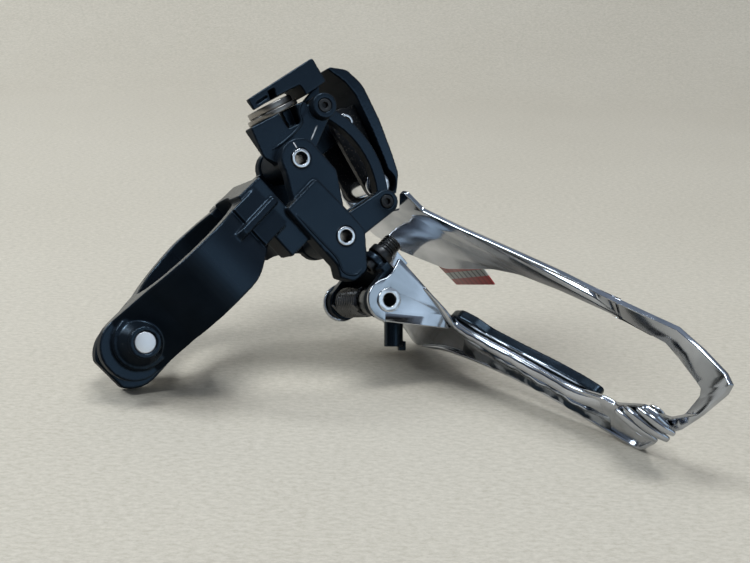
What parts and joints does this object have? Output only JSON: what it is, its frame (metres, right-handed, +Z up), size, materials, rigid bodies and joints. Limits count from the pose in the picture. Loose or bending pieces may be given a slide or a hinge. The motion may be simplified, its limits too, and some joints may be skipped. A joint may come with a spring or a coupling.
{
  "type": "bicycle front derailleur",
  "caption": "Band-clamp bicycle front derailleur: hinged seat-tube clamp, short toggle linkage with a cable arm and return spring, and a two-plate chrome chain cage.",
  "frame": {"origin": "centre of the footprint's bounding box, on the table the object lies on, +Z up", "axes": "+X along the object's longest side, from the clamp ear to the cage's tail; +Y away from the side that shows in the picture; +Z up off the table. The pivots, the seat tube and the cage are all slanted in this frame"},
  "size_m": [0.1371, 0.1055, 0.076],
  "materials": {
    "satin_black": "satin",
    "gloss_black": "gloss",
    "resin_black": "matt",
    "chromed_steel": "polished",
    "bright_steel": "brushed",
    "dark_steel": "dark satin",
    "spring_steel": "oiled",
    "label_film": "printed film"
  },
  "bodies": {
    "base": {"base_body": "satin_black", "arm_pivot_pin": "bright_steel", "inner_pivot_pin": "bright_steel", "outer_pivot_pin": "bright_steel", "pivot_bushes": "resin_black", "clamp_hinge_pin": "bright_steel"},
    "clamp_far_half": {"clamp_band": "satin_black", "clamp_washer": "bright_steel"},
    "clamp_screw": {"clamp_bolt": "bright_steel"},
    "cable_arm_body": {"cable_arm": "satin_black", "cable_washer": "bright_steel", "cable_guide_bracket": "satin_black", "arm_end_pin": "dark_steel"},
    "cable_screw": {"cable_fixing_bolt": "bright_steel"},
    "toggle": {"connecting_link": "satin_black"},
    "inner_link_body": {"inner_link": "satin_black", "toggle_lower_pin": "dark_steel", "limit_lock_nut": "dark_steel", "spring_seats": "resin_black"},
    "limit_adjuster": {"limit_screw": "dark_steel"},
    "outer_link_body": {"outer_link": "satin_black", "outer_link_cover": "gloss_black", "cover_screws": "dark_steel"},
    "cage": {"inner_cage_pin": "bright_steel", "outer_cage_pin": "bright_steel", "cage_inner_plate": "chromed_steel", "cage_outer_plate": "chromed_steel", "skid_plate": "resin_black", "skid_clip_peg": "resin_black", "tail_rivet": "bright_steel", "front_rivets": "bright_steel", "alignment_label": "label_film", "return_spring": "spring_steel"}
  },
  "joints": [
    {"name": "inner_link_pivot", "type": "hinge", "parent": "base", "child": "inner_link_body", "pos_m": [-0.01372, 0.01678, 0.03292], "axis": [0.3863, -0.8605, 0.3322], "range_deg": [0, 32], "stiffness_Nm_per_rad": 0.35, "springref_deg": -34.38},
    {"name": "outer_link_pivot", "type": "hinge", "parent": "base", "child": "outer_link_body", "pos_m": [-0.01384, 0.03871, 0.05675], "axis": [0.3863, -0.8605, 0.3322], "range_deg": [0, 32]},
    {"name": "cage_pivot", "type": "hinge", "parent": "inner_link_body", "child": "cage", "pos_m": [-0.00516, 0.01475, 0.0177], "axis": [0.3863, -0.8605, 0.3322], "range_deg": [-32, 0], "deforming": ["return_spring"]},
    {"name": "cable_arm_pivot", "type": "hinge", "parent": "base", "child": "cable_arm_body", "pos_m": [-0.02452, 0.02003, 0.05087], "axis": [0.3863, -0.8605, 0.3322], "range_deg": [0, 45.12]},
    {"name": "connecting_link_pivot", "type": "hinge", "parent": "cable_arm_body", "child": "toggle", "pos_m": [-0.01789, 0.0249, 0.0636], "axis": [0.3863, -0.8605, 0.3322], "range_deg": [-31.94, 0]},
    {"name": "clamp_hinge", "type": "hinge", "parent": "base", "child": "clamp_far_half", "pos_m": [-0.03764, 0.02852, 0.03268], "axis": [-0.6714, -0.0153, 0.741], "range_deg": [0, 1.5]},
    {"name": "clamp_bolt_turn", "type": "hinge", "parent": "base", "child": "clamp_screw", "pos_m": [-0.05992, -0.00081, 0.01095], "axis": [-0.3863, 0.8605, -0.3322], "continuous": true},
    {"name": "cable_bolt_turn", "type": "hinge", "parent": "cable_arm_body", "child": "cable_screw", "pos_m": [-0.02894, 0.02283, 0.06389], "axis": [-0.4807, 0.1196, 0.8687], "continuous": true},
    {"name": "limit_screw_turn", "type": "hinge", "parent": "inner_link_body", "child": "limit_adjuster", "pos_m": [-0.00118, 0.01192, 0.03042], "axis": [0.6325, 0.5092, 0.5836], "continuous": true}
  ],
  "couplings": [
    {"joint": "outer_link_pivot", "follows": "inner_link_pivot", "ratio": 1},
    {"joint": "cage_pivot", "follows": "inner_link_pivot", "ratio": -1},
    {"joint": "cable_arm_pivot", "follows": "inner_link_pivot", "ratio": 1.4084},
    {"joint": "connecting_link_pivot", "follows": "inner_link_pivot", "ratio": -0.9966}
  ]
}
